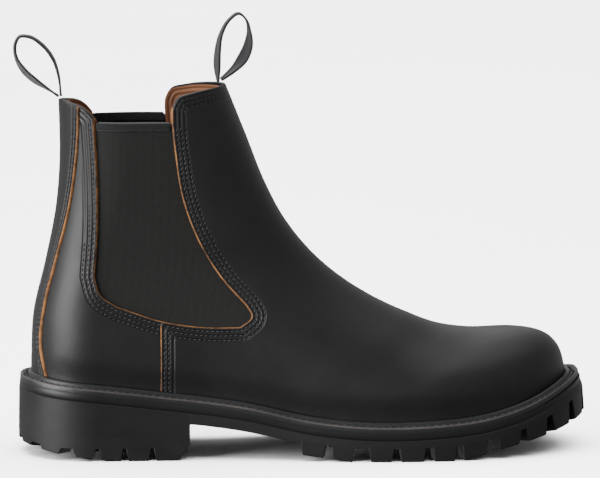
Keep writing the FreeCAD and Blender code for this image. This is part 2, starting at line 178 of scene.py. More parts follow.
GORE_TOP = 176.0
GORE_FRONT = spline([(-70.6, GORE_TOP), (-69.0, 161), (-64.8, 135.4), (-56.4, 112.8),
                     (-44.6, 93.6), (-31.5, 79.0)], 40)
GORE_TIP = spline([(-31.5, 79.0), (-28.8, 73.6), (-35.0, 68.0)], 14)
GORE_BOTTOM = spline([(-35.0, 68.0), (-53.0, 68.0), (-75.0, 71.0), (-100.0, 79.2)], 30)
GORE_HEEL = spline([(-100.0, 79.2), (-109.0, 85.5), (-112.0, 95.0)], 14)
GORE_REAR = spline([(-112.0, 95.0), (-110.4, 115), (-110.2, 145), (-111.8, GORE_TOP)], 24)
GORE_EDGE = joined(GORE_FRONT, GORE_TIP, GORE_BOTTOM, GORE_HEEL, GORE_REAR)
GORE_HOLE = np.concatenate([GORE_EDGE, [(-111.8, 260), (-70.6, 260)]])
SEAM_X = -77.5
COLLAR_FRONT = spline([(-71.5, 168), (-70.7, 183.0), (-66.8, 189.8), (-59.0, 192.2),
                       (-40.8, 194.8), (-20.0, 198.0)], 50)
COLLAR_REAR = spline([(-160.0, 189.5), (-128.0, 186.8), (-117.6, 183.8),
                      (-111.0, GORE_TOP + 1.5)], 24)
UNDER_COLLAR = np.concatenate([COLLAR_REAR, COLLAR_FRONT, [(200, 198), (200, -90), (-160, -90)]])
BACKSTAY_EDGE = spline([(-119.0, 200), (-119.6, 165), (-123.6, 132.4), (-131.0, 102.3),
                        (-136.7, 81), (-139.6, 58), (-134.5, 30)], 60)
BACKSTAY = np.concatenate([BACKSTAY_EDGE, [(-175, 20), (-175, 210)]])


def signed_distance(outline, x, z):
    """Distance to a closed side-view outline, positive inside it."""
    a = outline
    b = np.roll(outline, -1, 0)
    best = np.full(x.shape, np.inf)
    inside = np.zeros(x.shape, bool)
    for (ax, az), (bx, bz) in zip(a, b):
        dx, dz = bx - ax, bz - az
        length = dx * dx + dz * dz
        if length < 1e-12:
            continue
        t = np.clip(((x - ax) * dx + (z - az) * dz) / length, 0, 1)
        best = np.minimum(best, (x - ax - t * dx) ** 2 + (z - az - t * dz) ** 2)
        if az != bz:
            crosses = (az > z) != (bz > z)
            inside ^= crosses & (x < dx * (z - az) / (bz - az) + ax)
    return np.where(inside, 1, -1) * np.sqrt(best)


# ------------------------------------------------------------------ clip grid
class Patch:
    """Points, normals and faces cut out of the skin grid."""

    def __init__(self, points, normals, faces):
        self.points, self.normals, self.faces = points, normals, faces

    def split(self, value, level=0.0, drop=False):
        """Cut faces along value = level; `drop` also removes the lower side."""
        value = value(self.points) - level
        value[np.abs(value) < 1e-6] = 1e-6
        high = value > 0
        points, normals = list(self.points), list(self.normals)
        cuts, faces = {}, []

        def crossing(i, j):
            key = (min(i, j), max(i, j))
            if key not in cuts:
                t = value[i] / (value[i] - value[j])
                points.append(self.points[i] + t * (self.points[j] - self.points[i]))
                normal = self.normals[i] + t * (self.normals[j] - self.normals[i])
                normals.append(normal / np.linalg.norm(normal))
                cuts[key] = len(points) - 1
            return cuts[key]

        for face in self.faces:
            states = [high[i] for i in face]
            if all(states):
                faces.append(face)
                continue
            if not any(states):
                if not drop:
                    faces.append(face)
                continue
            upper, lower = [], []
            for k, i in enumerate(face):
                j = face[(k + 1) % len(face)]
                (upper if high[i] else lower).append(i)
                if high[i] != high[j]:
                    c = crossing(i, j)
                    upper.append(c)
                    lower.append(c)
            faces.append(tuple(upper))
            if not drop:
                faces.append(tuple(lower))
        used = sorted({i for face in faces for i in face})
        index = {old: new for new, old in enumerate(used)}
        faces = [tuple(index[i] for i in face) for face in faces]
        return Patch(np.array(points)[used], np.array(normals)[used], faces)

    def rim(self):
        """Directed edges that belong to one face only."""
        seen = {}
        for face in self.faces:
            for k, i in enumerate(face):
                seen[(i, face[(k + 1) % len(face)])] = True
        return [edge for edge in seen if (edge[1], edge[0]) not in seen]


GRID_POINTS, GRID_NORMALS = skin_grid()


def whole_skin(roughly):
    """The skin grid's quads that have a corner where `roughly` says so."""
    rows, columns = GRID_POINTS.shape[:2]
    points = GRID_POINTS.reshape(-1, 3)
    normals = GRID_NORMALS.reshape(-1, 3)
    index = np.arange(rows * columns).reshape(rows, columns)
    right = np.roll(index, -1, 1)
    quads = np.stack([index[:-1], right[:-1], right[1:], index[1:]], -1).reshape(-1, 4)
    wanted = roughly(points) > -6
    quads = quads[wanted[quads].any(1)]
    used, faces = np.unique(quads, return_inverse=True)
    faces = [tuple(face) for face in faces.reshape(-1, 4)]
    return Patch(points[used], normals[used], faces)


# --------------------------------------------------------------- make objects
MATERIALS = {}


def new_mesh(name, points, faces, materials, face_materials=None, sharp=35.0, data=None):
    """Make a mesh object from millimetre points; `data` holds point attributes."""
    mesh = bpy.data.meshes.new(name)
    mesh.from_pydata(((np.asarray(points) + SHIFT) * MM).tolist(), [], [list(f) for f in faces])
    for material in materials:
        mesh.materials.append(MATERIALS[material])
    if face_materials is not None:
        mesh.polygons.foreach_set("material_index", np.asarray(face_materials, np.int32))
    for key, values in (data or {}).items():
        layer = mesh.attributes.new(key, "FLOAT", "POINT")
        layer.data.foreach_set("value", np.asarray(values, np.float32))
    mesh.validate()
    mesh.shade_smooth()
    mesh.set_sharp_from_angle(angle=math.radians(sharp))
    piece = bpy.data.objects.new(name, mesh)
    bpy.context.scene.collection.objects.link(piece)
    return piece


def fit(piece, node, body="boot"):
    """Let a piece ride on a body and stand in for a CAD node, which is hidden."""
    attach(piece, body)
    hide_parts(node)


def merged(parts):
    """Several (points, faces) parts as one."""
    points, faces, total = [], [], 0
    for part_points, part_faces in parts:
        points.append(part_points)
        faces += [tuple(i + total for i in face) for face in part_faces]
        total += len(part_points)
    return np.concatenate(points), faces


def ring_faces(rows, columns, closed=False):
    """Quads between rings of points; `closed` joins the last ring to the first."""
    faces = []
    for r in range(rows if closed else rows - 1):
        s = (r + 1) % rows
        for k in range(columns):
            j = (k + 1) % columns
            faces.append((r * columns + k, r * columns + j, s * columns + j, s * columns + k))
    return faces


def capped_tube(rows, columns):
    """Quads between rings of points, and a face over each end."""
    ends = [tuple(range(columns))[::-1], tuple(range((rows - 1) * columns, rows * columns))]
    return ring_faces(rows, columns) + ends


def height_at(height, points):
    """A height over the leather, given as a number or as a function of the points."""
    return height(points) if callable(height) else np.full(len(points), height)


EDGE_LIP = 0.3                 # square part of a cut edge, below its rounding
RAW_REACH = 0.3                # how far off a raw edge may be and still be the one that shows


def shell(name, region, outer, inner, materials, raw=None, edge=0.6, sewn=None,
          raw_share=0.8, extra=None):
    """A panel: the skin inside `region`, between two heights over the leather.

    `region` and `raw` give the distance in from the edges at (x, y, z) points;
    the rim shows materials[1] where a raw edge is nearest, else materials[0].
    `sewn` gives the distance from the edges that stitch rows follow.
    """
    patch = whole_skin(region).split(region, 0.0, drop=True)
    for share in (1.0, 0.45):
        patch = patch.split(region, edge * share)
    distance = region(patch.points)
    top = height_at(outer, patch.points)
    fall = np.sqrt(1 - (1 - np.clip(distance / edge, 0, 1)) ** 2)
    rise = inner + EDGE_LIP + (top - inner - EDGE_LIP) * fall
    over = patch.points + patch.normals * rise[:, None]
    under = patch.points + patch.normals * inner
    count = len(patch.points)
    centres = np.array([patch.points[list(face)].mean(0) for face in patch.faces])
    near = region(centres)
    raw_near = raw(centres) if raw else np.full(len(centres), np.inf)
    on_rim = (near < edge * raw_share) & (raw_near < near + RAW_REACH)
    faces = patch.faces + [tuple(i + count for i in face[::-1]) for face in patch.faces]
    kinds = list(on_rim.astype(int)) + [0] * len(patch.faces)
    for i, j in patch.rim():
        middle = (patch.points[i] + patch.points[j]) / 2
        is_raw = raw is not None and raw(middle[None])[0] < RAW_REACH
        faces.append((j, i, i + count, j + count))
        kinds.append(int(is_raw))
    data = {"edge": np.tile(sewn(patch.points) if sewn else distance, 2)}
    for key, values in (extra or {}).items():
        data[key] = np.tile(values(patch.points), 2)
    return new_mesh(name, np.concatenate([over, under]), faces, materials, kinds, data=data)


# ------------------------------------------------------------------- stitches
def stitch_shape(length, width, height):
    """A thread stitch lying along x: a low rounded bead, dipping at its ends."""
    stations = np.array([-0.5, -0.38, 0.0, 0.38, 0.5])
    swell = np.array([0.25, 0.85, 1.0, 0.85, 0.25])
    lift = np.array([-0.35, 0.55, 1.0, 0.55, -0.35])
    corners = np.radians([30, 90, 150, 210, 330])
    points = []
    for s, w, h in zip(stations, swell, lift):
        for a in corners:
            points.append((s * length, math.cos(a) * width / 2 * w,
                           height * (h * 0.5 + math.sin(a) * 0.5 * w)))
    return np.array(points), capped_tube(len(stations), len(corners))


UPPER_STITCH = (2.6, 2.1, 0.7, 0.42, -0.08)    # pitch, length, width, height, lift
WELT_STITCH = (4.1, 3.3, 1.0, 0.8, 0.0)


def stitch_run(path, normals, pitch, length, width, height, lift):
    """Stitches along a 3-D path; returns points and faces."""
    run = run_along(path)
    count = max(int(run[-1] / pitch), 1)
    where = (np.arange(count) + 0.5) * run[-1] / count
    at = np.stack([np.interp(where, run, path[:, k]) for k in range(3)], -1)
    ahead = np.stack([np.interp(where + 0.5, run, path[:, k]) for k in range(3)], -1)
    behind = np.stack([np.interp(where - 0.5, run, path[:, k]) for k in range(3)], -1)
    up = np.stack([np.interp(where, run, normals[:, k]) for k in range(3)], -1)
    up /= np.linalg.norm(up, axis=1, keepdims=True)
    along = ahead - behind
    along -= up * (along * up).sum(1, keepdims=True)
    along /= np.linalg.norm(along, axis=1, keepdims=True)
    across = np.cross(up, along)
    shape, shape_faces = stitch_shape(length, width, height)
    points = (at[:, None] + shape[None, :, :1] * along[:, None]
              + shape[None, :, 1:2] * across[:, None]
              + (shape[None, :, 2:] + lift) * up[:, None]).reshape(-1, 3)
    faces = [tuple(i + k * len(shape) for i in face)
             for k in range(count) for face in shape_faces]
    return points, faces


def stitching(name, runs):
    """One piece made of several stitch runs."""
    piece = new_mesh(name, *merged(runs), ["thread"], sharp=80)
    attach(piece, "boot")


def offset_path(path, distance, side):
    """A side-view path `distance` over the leather to the left of another."""
    along = np.gradient(path, axis=0)
    along /= np.linalg.norm(along, axis=1, keepdims=True)
    left = np.stack([-along[:, 1], along[:, 0]], -1) * np.sign(distance)
    steps = np.linspace(0, abs(distance), 25)
    spots = path[:, None] + left[:, None] * steps[None, :, None]
    points = surface(spots[..., 0], spots[..., 1], side)[0]
    runs = np.linalg.norm(np.diff(points, axis=1), axis=-1).cumsum(1)
    reach = [np.interp(abs(distance), np.r_[0, run], steps) for run in runs]
    return path + left * np.array(reach)[:, None]


def on_side(path, side, height):
    """A side-view path laid on the leather at a height above it."""
    points, normals = surface(path[:, 0], path[:, 1], side)
    return points + normals * height_at(height, points)[:, None], normals


# ------------------------------------------------------------------ materials
class Shader:
    """A small helper that adds nodes to one material."""

    def __init__(self, name):
        self.material = bpy.data.materials.new(name)
        self.material.use_nodes = True
        self.tree = self.material.node_tree
        self.surface = self.tree.nodes["Principled BSDF"]
        MATERIALS[name] = self.material

    def node(self, kind, inputs=None, **settings):
        node = self.tree.nodes.new(kind)
        for key, value in settings.items():
            setattr(node, key, value)
        for key, value in (inputs or {}).items():
            self.put(node.inputs[key], value)
        return node

    def put(self, socket, value):
        if isinstance(value, bpy.types.NodeSocket):
            self.tree.links.new(value, socket)
        else:
            socket.default_value = value

    def set(self, **values):
        for key, value in values.items():
            self.put(self.surface.inputs[key.replace("_", " ")], value)

    def coords(self, scale=(1, 1, 1)):
        place = self.node("ShaderNodeTexCoord").outputs["Object"]
        return self.node("ShaderNodeMapping", {"Vector": place, "Scale": scale}).outputs[0]

    def attribute(self, name):
        return self.node("ShaderNodeAttribute", attribute_name=name).outputs["Fac"]

    def noise(self, scale, detail=3.0, rough=0.55, vector=None):
        vector = self.coords() if vector is None else vector
        inputs = {"Vector": vector, "Scale": scale, "Detail": detail, "Roughness": rough}
        return self.node("ShaderNodeTexNoise", inputs).outputs["Fac"]

    def cells(self, scale, feature="DISTANCE_TO_EDGE"):
        inputs = {"Vector": self.coords(), "Scale": scale}
        node = self.node("ShaderNodeTexVoronoi", inputs, feature=feature)
        return node.outputs["Distance"]

    def math(self, operation, a, b=0.0):
        return self.node("ShaderNodeMath", {0: a, 1: b}, operation=operation).outputs[0]

    def weighted(self, a, share_a, b, share_b):
        """share_a of one value plus share_b of another."""
        return self.math("ADD", self.math("MULTIPLY", a, share_a),
                         self.math("MULTIPLY", b, share_b))

    def wave(self, scale, distortion, direction="X", vector=None, **inputs):
        vector = self.coords() if vector is None else vector
        inputs = {key.replace("_", " "): value for key, value in inputs.items()}
        inputs |= {"Vector": vector, "Scale": scale, "Distortion": distortion}
        return self.node("ShaderNodeTexWave", inputs, bands_direction=direction).outputs["Fac"]

    def remap(self, value, low, high, new_low=0.0, new_high=1.0):
        inputs = {"Value": value, "From Min": low, "From Max": high,
                  "To Min": new_low, "To Max": new_high}
        return self.node("ShaderNodeMapRange", inputs).outputs[0]

    def ramp(self, value, stops):
        node = self.node("ShaderNodeValToRGB", {"Fac": value})
        ramp = node.color_ramp
        while len(ramp.elements) < len(stops):
            ramp.elements.new(0.5)
        for element, (place, colour) in zip(ramp.elements, stops):
            element.position = place
            element.color = (*colour, 1.0)
        return node.outputs["Color"]

    def mix(self, share, a, b):
        """Socket `a` mixed with the plain colour `b`."""
        node = self.node("ShaderNodeMix", data_type="RGBA")
        self.put(node.inputs["Factor"], share)
        self.put(node.inputs["A"], a)
        self.put(node.inputs["B"], (*b, 1.0))
        return node.outputs["Result"]

    def bump(self, height, strength, distance, normal=None):
        inputs = {"Height": height, "Strength": strength, "Distance": distance * MM}
        if normal is not None:
            inputs["Normal"] = normal
        return self.node("ShaderNodeBump", inputs).outputs["Normal"]


def leather(name, dark, light, roughness, grain, rows=(), shine=0.32):
    """Smooth leather. `rows` are distances from the edge where stitches sink in; the grooves
    there get painted shade.
    """
    s = Shader(name)
    mottle = s.noise(22, 4)
    fine = s.noise(900, 2)
    pores = s.cells(1500)
    colour = s.ramp(s.weighted(mottle, 0.75, fine, 0.25), [(0.32, dark), (0.68, light)])
    height = s.math("ADD", s.remap(pores, 0.0, 0.12), s.math("MULTIPLY", fine, 0.8))
    normal = s.bump(height, grain, 0.09, s.bump(s.noise(38, 3), 0.35, 0.5))
    if rows:
        edge = s.attribute("edge")
        sink = None
        for row in rows:
            away = s.math("ABSOLUTE", s.math("SUBTRACT", edge, row))
            groove = s.remap(away, 0.2, 0.95, 0.0, 1.0)
            sink = groove if sink is None else s.math("MULTIPLY", sink, groove)
        # Painted shade: along the stitch grooves the colour is darkened towards a deeper black,
        # where shade falls.
        colour = s.mix(s.remap(sink, 0, 1, 0.55, 0.0), colour, tuple(c * 0.35 for c in dark))
        normal = s.bump(sink, 0.9, 0.35, normal)
    s.set(Base_Color=colour, Normal=normal, Specular_IOR_Level=shine,
          Roughness=s.remap(s.math("ADD", mottle, s.math("MULTIPLY", fine, 0.4)), 0.3, 1.1,
                            roughness - 0.05, roughness + 0.09))


def raw_edge():
    s = Shader("raw_edge")
    fibre = s.noise(700, 5, 0.7)
    patchy = s.noise(120, 3)
    colour = s.ramp(s.weighted(fibre, 0.5, patchy, 0.5),
                    [(0.38, (0.04, 0.017, 0.005)), (0.5, (0.2, 0.08, 0.02)),
                     (0.64, (0.34, 0.15, 0.042))])
    s.set(Base_Color=colour, Roughness=0.8, Normal=s.bump(fibre, 0.8, 0.2))


def elastic():
    """Elastic webbing: fine ribs up the shaft, crossed by a tighter weave."""
    s = Shader("elastic")
    rib = s.wave(520.0, 0.25, "X", s.coords((1, 0.0, -0.06)), Detail=1.0, Detail_Scale=4.0)
    weft = s.wave(900.0, 0.5, "Z", Detail=1.0)
    fuzz = s.noise(1400, 2)
    weave = s.weighted(rib, 0.7, weft, 0.3)
    colour = s.ramp(s.weighted(weave, 0.6, fuzz, 0.5),
                    [(0.25, (0.005, 0.005, 0.005)), (0.8, (0.021, 0.021, 0.02))])
    s.set(Base_Color=colour, Roughness=0.86, Normal=s.bump(weave, 0.5, 0.2),
          Specular_IOR_Level=0.2, Sheen_Weight=0.06, Sheen_Roughness=0.5)


BAND, YARN = 1.1, 0.42          # a tape's herringbone: width of a slanted band, of half a yarn


def tape(name, dark, light):
    """Woven tape with a small herringbone."""
    s = Shader(name)
    slant = s.math("ADD", s.attribute("along"), s.math("PINGPONG", s.attribute("across"), BAND))
    strand = s.remap(s.math("PINGPONG", slant, YARN), 0.0, YARN)
    weave = s.weighted(strand, 0.7, s.noise(1500, 3), 0.4)
    s.set(Base_Color=s.ramp(weave, [(0.2, dark), (0.85, light)]), Roughness=0.82,
          Normal=s.bump(weave, 0.8, 0.3), Sheen_Weight=0.25, Sheen_Roughness=0.4,
          Specular_IOR_Level=0.25)


def thread():
    s = Shader("thread")
    twist = s.wave(900.0, 1.0)
    tone = s.noise(160, 2)
    colour = s.ramp(tone, [(0.35, (0.007, 0.007, 0.008)), (0.7, (0.03, 0.028, 0.034))])
    s.set(Base_Color=colour, Roughness=0.5, Normal=s.bump(twist, 0.5, 0.12))


def rubber(name, dark, light, roughness, coarse):
    s = Shader(name)
    speck = s.noise(1100, 3, 0.7)
    cloud = s.noise(30, 3)
    scuff = s.noise(90, 5, 0.7, s.coords((0.25, 0.25, 1.4)))
    tone = s.weighted(cloud, 0.6, scuff, 0.4)
    s.set(Base_Color=s.ramp(tone, [(0.3, dark), (0.7, light)]),
          Roughness=s.remap(scuff, 0.3, 0.7, roughness - 0.07, roughness + 0.08),
          Normal=s.bump(speck, coarse, 0.08, s.bump(cloud, 0.2, 0.3)), Specular_IOR_Level=0.28)


def board(name, dark, light, scale):
    """Fibrous or granular inner materials: boards, cork, canvas."""
    s = Shader(name)
    mixed = s.weighted(s.cells(scale, feature="F1"), 0.4, s.noise(scale * 0.4, 4), 0.6)
    s.set(Base_Color=s.ramp(mixed, [(0.2, dark), (0.7, light)]), Roughness=0.85,
          Normal=s.bump(mixed, 0.6, 0.3))


def steel():
    s = Shader("steel")
    streak = s.noise(200, 4, 0.6, s.coords((0.05, 1, 1)))
    s.set(Base_Color=s.ramp(streak, [(0.3, (0.42, 0.43, 0.45)), (0.7, (0.62, 0.63, 0.65))]),
          Metallic=1.0, Roughness=s.remap(streak, 0.3, 0.7, 0.25, 0.42),
          Normal=s.bump(streak, 0.2, 0.05))


ROWS = (2.2, 4.6, 7.0)         # stitch rows' distances from the edges of the leather
STAY_ROWS = (2.0, 3.9)         # and from those of the backstay


def make_materials():
    black_dark, black_light = (0.0055, 0.0055, 0.0058), (0.0105, 0.0104, 0.0112)
    leather("leather_seams", black_dark, black_light, 0.42, 0.25, rows=ROWS)
    leather("backstay_leather", black_dark, black_light, 0.46, 0.3, rows=STAY_ROWS)
    leather("lining", (0.13, 0.046, 0.018), (0.24, 0.095, 0.04), 0.62, 0.5, rows=(2.4, 5.0))
    leather("sock", (0.22, 0.1, 0.04), (0.38, 0.19, 0.085), 0.6, 0.4)
    leather("waxed_welt", (0.004, 0.004, 0.0042), (0.009, 0.009, 0.0095), 0.33, 0.35, shine=0.5)
    # Painted highlight: a lighter leather for the crest of the welt's lip, standing in for the
    # light line it catches.
    leather("painted_highlight_lip", (0.02, 0.018, 0.017), (0.075, 0.066, 0.06), 0.4, 0.4)
    raw_edge()
    elastic()
    tape("loop_tape", (0.007, 0.007, 0.008), (0.036, 0.036, 0.041))
    tape("binding_tape", (0.004, 0.004, 0.0045), (0.018, 0.018, 0.019))
    thread()
    rubber("midsole_rubber", (0.0045, 0.0045, 0.005), (0.009, 0.009, 0.0095), 0.42, 0.3)
    rubber("outsole_rubber", (0.006, 0.006, 0.0063), (0.0115, 0.0115, 0.012), 0.5, 0.5)
    board("board", (0.2, 0.13, 0.07), (0.42, 0.3, 0.18), 900)
    board("cork", (0.16, 0.09, 0.04), (0.5, 0.33, 0.18), 500)
    board("canvas", (0.4, 0.36, 0.28), (0.66, 0.6, 0.5), 1300)
    steel()


# ---------------------------------------------------------------------- upper
LEATHER_BOTTOM = -4.0          # from the feather line, hidden behind the welt's rib
INSIDE = -2.0                  # the leather's inner face; heights are over its outer one
STAY_HEIGHT = 1.25
GORE_LAYER = (-1.9, -3.1)
BINDING_LAYER = (-1.1, -4.0)
LINING_LAYER = (-3.1, -4.1)
SEAM_OVERLAP = 3.0             # of the quarter under the vamp
GORE_ALLOWANCE = 9.0           # of the gore under the leather
BINDING_ENDS = (-111.5, -70.9)
BINDING_BOTTOM = 172.0


def above_sole(p, bottom=LEATHER_BOTTOM):
    return p[:, 2] - feather(p[:, 0]) - bottom


def collar_distance(p, drop=0.0):
    return signed_distance(UNDER_COLLAR, p[:, 0], p[:, 2] + drop)


def gore_distance(p):
    return -signed_distance(GORE_HOLE, p[:, 0], p[:, 2])


def vamp_region(p):
    return np.minimum.reduce([p[:, 0] - SEAM_X, gore_distance(p), collar_distance(p),
                              above_sole(p)])


def vamp_cut_edges(p):
    return np.minimum(p[:, 0] - SEAM_X, gore_distance(p))


def vamp_height(p):
    """The vamp lies over the quarter at the side seam and settles down ahead of it."""
    near = 1 - ease((p[:, 0] - SEAM_X) / 26)
    low = 1 - ease((p[:, 2] - 62) / 20)
    return 0.75 * near * low


def quarter_region(side):
    def region(p):
        seam = SEAM_X + SEAM_OVERLAP - p[:, 0]
        half = p[:, 1] * side + 0.5
        return np.minimum.reduce([seam, half, gore_distance(p), collar_distance(p),
                                  above_sole(p)])
    return region


def sewn_edges(p):
    return np.minimum(gore_distance(p), collar_distance(p))


def vamp_sewn(p):
    return np.minimum(p[:, 0] - SEAM_X, sewn_edges(p))


def backstay_strip(p):
    return signed_distance(BACKSTAY, p[:, 0], p[:, 2])


def backstay_region(p):
    return np.minimum.reduce([backstay_strip(p), collar_distance(p), above_sole(p, -1.0)])


def stay_distance(p):
    """Distance over the heel's curve from the backstay's two edges."""
    edge = spline(BACKSTAY_EDGE, 500)
    lines = np.concatenate([surface(edge[:, 0], edge[:, 1], side)[0] for side in SIDES])
    return np.linalg.norm(p[:, None] - lines[None], axis=-1).min(1)


def gore_region(side):
    def region(p):
        hole = GORE_ALLOWANCE - gore_distance(p)
        return np.minimum.reduce([hole, p[:, 1] * side, GORE_TOP - 0.6 - p[:, 2]])
    return region


def binding_region(side):
    rear, front = BINDING_ENDS

    def region(p):
        x, y, z = p.T
        return np.minimum.reduce([x - rear, front - x, y * side, z - BINDING_BOTTOM,
                                  GORE_TOP + 0.6 - z])
    return region


def lining_region(front):
    def region(p):
        seam = (p[:, 0] - SEAM_X) * (1 if front else -1)
        return np.minimum.reduce([seam, gore_distance(p), collar_distance(p, 0.8),
                                  above_sole(p, -1.0)])
    return region


def make_side_panels(word, side):
    """The quarter, the elastic gore and the gore's binding on one side."""
    quarter = shell("quarter_leather_" + word, quarter_region(side), 0.0, INSIDE,
                    ["leather_seams", "raw_edge"], gore_distance, sewn=sewn_edges)
    fit(quarter, "quarter_" + word)
    gore = shell("gore_webbing_" + word, gore_region(side), *GORE_LAYER, ["elastic"])
    fit(gore, "gore_" + word)
    binding = shell("gore_tape_" + word, binding_region(side), *BINDING_LAYER, ["binding_tape"],
                    extra={"across": lambda p: p[:, 2], "along": lambda p: p[:, 0]})
    fit(binding, "gore_binding_" + word)


def make_upper():
    vamp = shell("vamp_leather", vamp_region, vamp_height, INSIDE,
                 ["leather_seams", "raw_edge"], vamp_cut_edges, sewn=vamp_sewn)
    fit(vamp, "vamp")
    for word, side in (("lateral", LATERAL), ("medial", MEDIAL)):
        make_side_panels(word, side)
    backstay = shell("backstay_leather", backstay_region, STAY_HEIGHT, 0.0,
                     ["backstay_leather", "raw_edge"], backstay_strip, edge=0.5,
                     sewn=stay_distance, raw_share=1.0)
    fit(backstay, "backstay")
    for word, front in (("vamp", True), ("quarter", False)):
        lining = shell(word + "_lining_leather", lining_region(front), *LINING_LAYER,
                       ["lining"], edge=0.4, sewn=sewn_edges)
        fit(lining, word + "_lining")


# ----------------------------------------------------------------- sole rings
UPPER_ENDS = (-143.2, 143.0)    # the upper's heel and toe at the feather line
TOE_FLARE = 1.6
FLARE_START, FLARE_RUN = 90, 58


def outline_ring(count=720):
    """Plan outline of the upper at the feather line, evenly spaced, with normals."""
    angle = 2 * np.pi * (np.arange(4000) + 0.5) / 4000
    back, front = UPPER_ENDS
    x = back + (front - back) * (1 - np.cos(angle)) / 2
    side = np.where(angle < np.pi, LATERAL, MEDIAL)
    ring = np.stack([x, side * half_width(x, feather(x), side)], -1)
    closed = np.concatenate([ring, ring[:1]])
    run = run_along(closed)
    where = np.arange(count) * run[-1] / count
    ring = np.stack([np.interp(where, run, closed[:, k]) for k in (0, 1)], -1)
    along = np.roll(ring, -3, 0) - np.roll(ring, 3, 0)
    normals = np.stack([along[:, 1], -along[:, 0]], -1)
    normals /= np.linalg.norm(normals, axis=1, keepdims=True)
    return ring, normals


RING, RING_NORMALS = outline_ring()


def ring_points(margin, drop=0.0, flare=0.0):
    """The outline moved out by `margin`, at `drop` from the feather line."""
    plan = RING + RING_NORMALS * margin
    x = plan[:, 0] + flare * ease((plan[:, 0] - FLARE_START) / FLARE_RUN)
    return np.stack([x, plan[:, 1], feather(plan[:, 0]) + drop], -1)


def swept(name, profile, flare, materials, highlight_strips=()):
    """A closed (margin, drop) profile carried round the outline.

    The strips that start at the profile corners listed in the last argument get materials[1], a
    lighter colour painted on as a highlight.
    """
    rows = [ring_points(margin, drop, flare) for margin, drop in profile]
    kinds = np.repeat([int(r in highlight_strips) for r in range(len(rows))], len(RING))
    return new_mesh(name, np.concatenate(rows), ring_faces(len(rows), len(RING), closed=True),
                    materials, kinds, sharp=50)


WELT_PROFILE = [(-1.0, -5.2), (-1.0, -1.2), (-0.2, -0.1), (1.0, 0.25), (2.1, 0.0), (2.8, -0.9),
                (3.2, -2.3), (3.9, -2.9), (5.0, -2.9), (5.7, -2.2), (6.3, -1.9), (6.7, -1.95),
                (7.05, -2.3), (7.25, -2.9), (7.35, -4.9), (7.3, -5.2)]
WELT_LIP = (11, 12)            # strips of the profile along the lip's crest, painted lighter as a highlight
MIDSOLE_PROFILE = [(-9.0, -5.2), (7.3, -5.2), (7.4, -5.4), (7.6, -8.3), (7.4, -8.85),
                   (6.6, -9.0), (-9.0, -9.0)]


STITCH_MARGIN, STITCH_DROP = 4.45, -2.45    # in the welt's channel


def make_welt():
    welt = swept("storm_welt", WELT_PROFILE, 0.0, ["waxed_welt", "painted_highlight_lip"], WELT_LIP)
    fit(welt, "welt")
    midsole = swept("midsole_layer", MIDSOLE_PROFILE, TOE_FLARE / 2, ["midsole_rubber"])
    fit(midsole, "midsole")
    path = ring_points(STITCH_MARGIN, STITCH_DROP)
    path = np.concatenate([path, path[:1]])
    up = np.tile([0.0, 0.0, 1.0], (len(path), 1))
    stitching("welt_stitches", [stitch_run(path, up, *WELT_STITCH)])


# -------------------------------------------------------------------- outsole
OUTSOLE_TOP, WAIST_BOTTOM = -9.0, -14.8    # from the feather line
TREAD_DEPTH = 4.2
OUTSOLE_MARGIN = 8.2
BREAST_X, FOREPART_X = -62.3, -5.0
HEEL_GROOVE_TOP = 4.5
TREAD_Z = -2.5
FOREPART_GROOVES = [(10.6, 2.6), (28.0, 7.2), (46.6, 2.5), (64.0, 3.4), (80.3, 2.7),
                    (98.5, 5.2), (115.5, 2.4), (130.5, 2.6), (143.5, 1.8)]    # middle, width
HEEL_GROOVES = [(-82.3, 0.9), (-97.0, 0.9), (-111.4, 1.1), (-127.5, 5.2)]
# In places along the outline: the lugs' taper, half the gap between the last two lugs of
# a side, and the gap from the last one to the middle of the toe or heel.
FOREPART_TAPER, HEEL_TAPER = 1.45, 1.8
FOREPART_END_GAP, HEEL_END_GAP = 1.6, 2.4
MIDDLE_GAP = 3.0
LUG_REACH = 15.0
LUG_SAMPLES = 7
LUG_SINK = 0.6                 # of a lug into the body above it


def tread_line(points):
    """A smooth line of tread heights that never dips under the ground."""
    line = smooth_line(points)
    return lambda x: np.maximum(line(x), TREAD_Z)


heel_tread = tread_line([(-170, 7.8), (-106, -2.1), (-100, TREAD_Z), (-70, TREAD_Z),
                         (-63.8, 2.6)])
forepart_tread = tread_line([(-6, 1.4), (14, -1.2), (24, TREAD_Z), (76, TREAD_Z), (84, -1.9),
                             (94, 0.4), (103, 2.9), (127, 8.3), (143, 13.0), (165, 21.0)])


def forepart_root(x):
    return feather(x) + OUTSOLE_TOP - TREAD_DEPTH


def heel_root(x):
    return np.maximum(HEEL_GROOVE_TOP, heel_tread(x) + 2.5)


def underside(x):
    """The height of the outsole's body between its lugs."""
    if x < BREAST_X:
        return heel_root(x)
    if x < FOREPART_X - 0.8:
        return feather(x) + WAIST_BOTTOM
    return forepart_root(x)


def ring_at(places, margin, flare=0.0):
    """Plan points at fractional places along the outline."""
    ring = ring_points(margin, 0.0, flare)
    closed = np.concatenate([ring, ring[:1]])
    places = np.mod(places, len(ring))
    whole = np.arange(len(closed))
    return np.stack([np.interp(places, whole, closed[:, k]) for k in (0, 1)], -1)


def ring_place(x, side):
    """Fractional place along the outline where the outsole's edge passes x."""
    half = len(RING) // 2
    places = np.linspace(0.0, half, 1500)
    if side == MEDIAL:
        places = 2 * half - places
    return float(np.interp(x, ring_at(places, OUTSOLE_MARGIN, TOE_FLARE)[:, 0], places))


